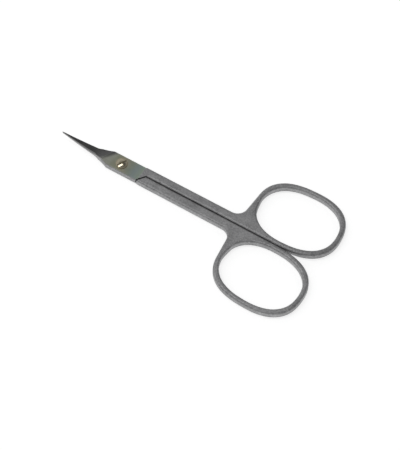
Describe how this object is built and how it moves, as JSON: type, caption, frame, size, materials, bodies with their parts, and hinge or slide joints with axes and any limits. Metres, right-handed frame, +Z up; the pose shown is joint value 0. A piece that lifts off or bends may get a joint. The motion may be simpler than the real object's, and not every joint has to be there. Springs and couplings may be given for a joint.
{
  "type": "cuticle scissors",
  "caption": "Small all-metal cuticle scissors with fine curved pointed blades, slim side-by-side shanks, oval finger rings and a brass-coloured slotted pivot screw.",
  "frame": {"origin": "on the pivot axis, in the plane that the closed scissors rest on", "axes": "+X towards the blade tips, +Z up through the head of the pivot screw, +Y towards the finger ring of the lower half"},
  "size_m": [0.09, 0.0438, 0.003],
  "materials": {
    "satin_steel": "bead-blasted satin stainless steel, ground brighter round the pivot and on the blades",
    "brass": "turned and polished"
  },
  "bodies": {
    "lower_half": {"lower_half": "satin_steel", "pivot_screw": "brass"},
    "upper_half": {"upper_half": "satin_steel"}
  },
  "joints": [
    {"name": "pivot", "type": "hinge", "parent": "lower_half", "child": "upper_half", "pos_m": [0, 0, 0.00125], "axis": [0, 0, 1], "range_deg": [0, 120]}
  ]
}
